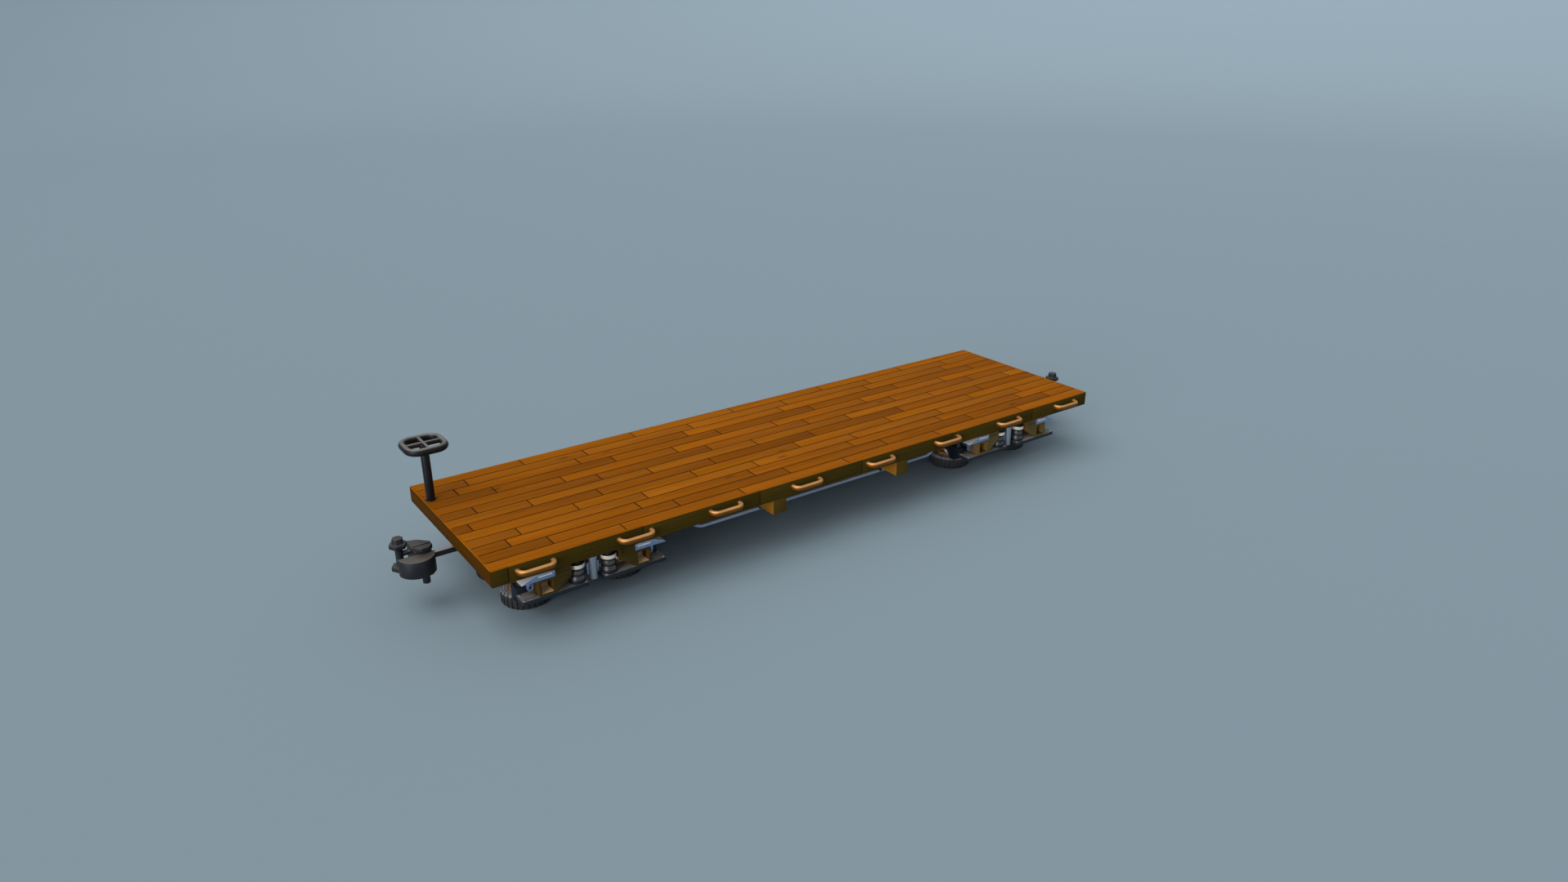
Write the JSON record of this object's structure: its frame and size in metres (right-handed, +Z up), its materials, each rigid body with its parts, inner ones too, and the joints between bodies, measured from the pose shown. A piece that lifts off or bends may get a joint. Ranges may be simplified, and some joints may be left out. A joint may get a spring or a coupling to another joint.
{
  "type": "flatcar",
  "caption": "Wooden railway flatcar with open plank deck, needle beams and truss rods, grab handles, hand brake, end couplers and swivelling trucks on flat-lying guide tyres.",
  "frame": {"origin": "on the floor under the middle of the car, at the centre of the box's underside", "axes": "+X along the car away from the brake end, +Y to its left side, +Z up"},
  "size_m": [10.5848, 2.8598, 1.735],
  "materials": {
    "timber": "oiled planks with dark joints",
    "dark_steel": "dark cast steel, satin",
    "bright_steel": "polished bright steel",
    "spring_steel": "bright bands between dark cushions",
    "copper": "copper-coloured glossy bar",
    "tyre_rubber": "matte lugged rubber",
    "wheel_metal": "polished hub with a copper-coloured rim"
  },
  "bodies": {
    "car": {"deck_boards": "timber", "facing_boards": "timber", "side_sills": "timber", "end_sills": "timber", "long_sills": "timber", "joists": "timber", "body_bolsters": "dark_steel", "needle_beams": "timber", "truss_rods": "bright_steel", "queen_posts": "dark_steel", "grab_handles": "copper", "draft_pockets": "dark_steel", "staff_collar": "dark_steel"},
    "brake": {"brake_staff": "dark_steel", "brake_wheel": "dark_steel"},
    "truck_a": {"truck_a_bolster": "bright_steel", "truck_a_columns": "bright_steel", "truck_a_top_bars": "dark_steel", "truck_a_plates": "dark_steel", "truck_a_blocks": "timber", "truck_a_wedges": "bright_steel", "truck_a_eyes": "bright_steel", "truck_a_springs": "spring_steel", "truck_a_carriers": "dark_steel"},
    "wheel_a_outer_left": {"tyre_a_outer_left": "tyre_rubber", "rim_a_outer_left": "wheel_metal"},
    "wheel_a_outer_right": {"tyre_a_outer_right": "tyre_rubber", "rim_a_outer_right": "wheel_metal"},
    "wheel_a_inner_left": {"tyre_a_inner_left": "tyre_rubber", "rim_a_inner_left": "wheel_metal"},
    "wheel_a_inner_right": {"tyre_a_inner_right": "tyre_rubber", "rim_a_inner_right": "wheel_metal"},
    "coupler_a": {"coupler_a_head": "dark_steel", "coupler_a_pins": "dark_steel"},
    "truck_b": {"truck_b_bolster": "bright_steel", "truck_b_columns": "bright_steel", "truck_b_top_bars": "dark_steel", "truck_b_plates": "dark_steel", "truck_b_blocks": "timber", "truck_b_wedges": "bright_steel", "truck_b_eyes": "bright_steel", "truck_b_springs": "spring_steel", "truck_b_carriers": "dark_steel"},
    "wheel_b_outer_left": {"tyre_b_outer_left": "tyre_rubber", "rim_b_outer_left": "wheel_metal"},
    "wheel_b_outer_right": {"tyre_b_outer_right": "tyre_rubber", "rim_b_outer_right": "wheel_metal"},
    "wheel_b_inner_left": {"tyre_b_inner_left": "tyre_rubber", "rim_b_inner_left": "wheel_metal"},
    "wheel_b_inner_right": {"tyre_b_inner_right": "tyre_rubber", "rim_b_inner_right": "wheel_metal"},
    "coupler_b": {"coupler_b_head": "dark_steel", "coupler_b_pins": "dark_steel"}
  },
  "joints": [
    {"name": "truck_a_swivel", "type": "hinge", "parent": "car", "child": "truck_a", "pos_m": [3.39, 0, 0.7], "axis": [0, 0, 1], "range_deg": [-6, 6]},
    {"name": "wheel_a_outer_left_spin", "type": "hinge", "parent": "truck_a", "child": "wheel_a_outer_left", "pos_m": [3.986, 0.388, 0.1], "axis": [0, 0, 1], "continuous": true},
    {"name": "wheel_a_outer_right_spin", "type": "hinge", "parent": "truck_a", "child": "wheel_a_outer_right", "pos_m": [3.986, -0.388, 0.1], "axis": [0, 0, 1], "continuous": true},
    {"name": "wheel_a_inner_left_spin", "type": "hinge", "parent": "truck_a", "child": "wheel_a_inner_left", "pos_m": [2.794, 0.388, 0.1], "axis": [0, 0, 1], "continuous": true},
    {"name": "wheel_a_inner_right_spin", "type": "hinge", "parent": "truck_a", "child": "wheel_a_inner_right", "pos_m": [2.794, -0.388, 0.1], "axis": [0, 0, 1], "continuous": true},
    {"name": "coupler_a_swing", "type": "hinge", "parent": "car", "child": "coupler_a", "pos_m": [4.285, 0, 0.685], "axis": [0, 0, 1], "range_deg": [-6, 6]},
    {"name": "truck_b_swivel", "type": "hinge", "parent": "car", "child": "truck_b", "pos_m": [-3.39, 0, 0.7], "axis": [0, 0, 1], "range_deg": [-6, 6]},
    {"name": "wheel_b_outer_left_spin", "type": "hinge", "parent": "truck_b", "child": "wheel_b_outer_left", "pos_m": [-3.986, 0.388, 0.1], "axis": [0, 0, 1], "continuous": true},
    {"name": "wheel_b_outer_right_spin", "type": "hinge", "parent": "truck_b", "child": "wheel_b_outer_right", "pos_m": [-3.986, -0.388, 0.1], "axis": [0, 0, 1], "continuous": true},
    {"name": "wheel_b_inner_left_spin", "type": "hinge", "parent": "truck_b", "child": "wheel_b_inner_left", "pos_m": [-2.794, 0.388, 0.1], "axis": [0, 0, 1], "continuous": true},
    {"name": "wheel_b_inner_right_spin", "type": "hinge", "parent": "truck_b", "child": "wheel_b_inner_right", "pos_m": [-2.794, -0.388, 0.1], "axis": [0, 0, 1], "continuous": true},
    {"name": "coupler_b_swing", "type": "hinge", "parent": "car", "child": "coupler_b", "pos_m": [-4.285, 0, 0.685], "axis": [0, 0, 1], "range_deg": [-6, 6]},
    {"name": "brake_turn", "type": "hinge", "parent": "car", "child": "brake", "pos_m": [-4.595, 0.776, 1.3], "axis": [0, 0, 1], "continuous": true}
  ]
}
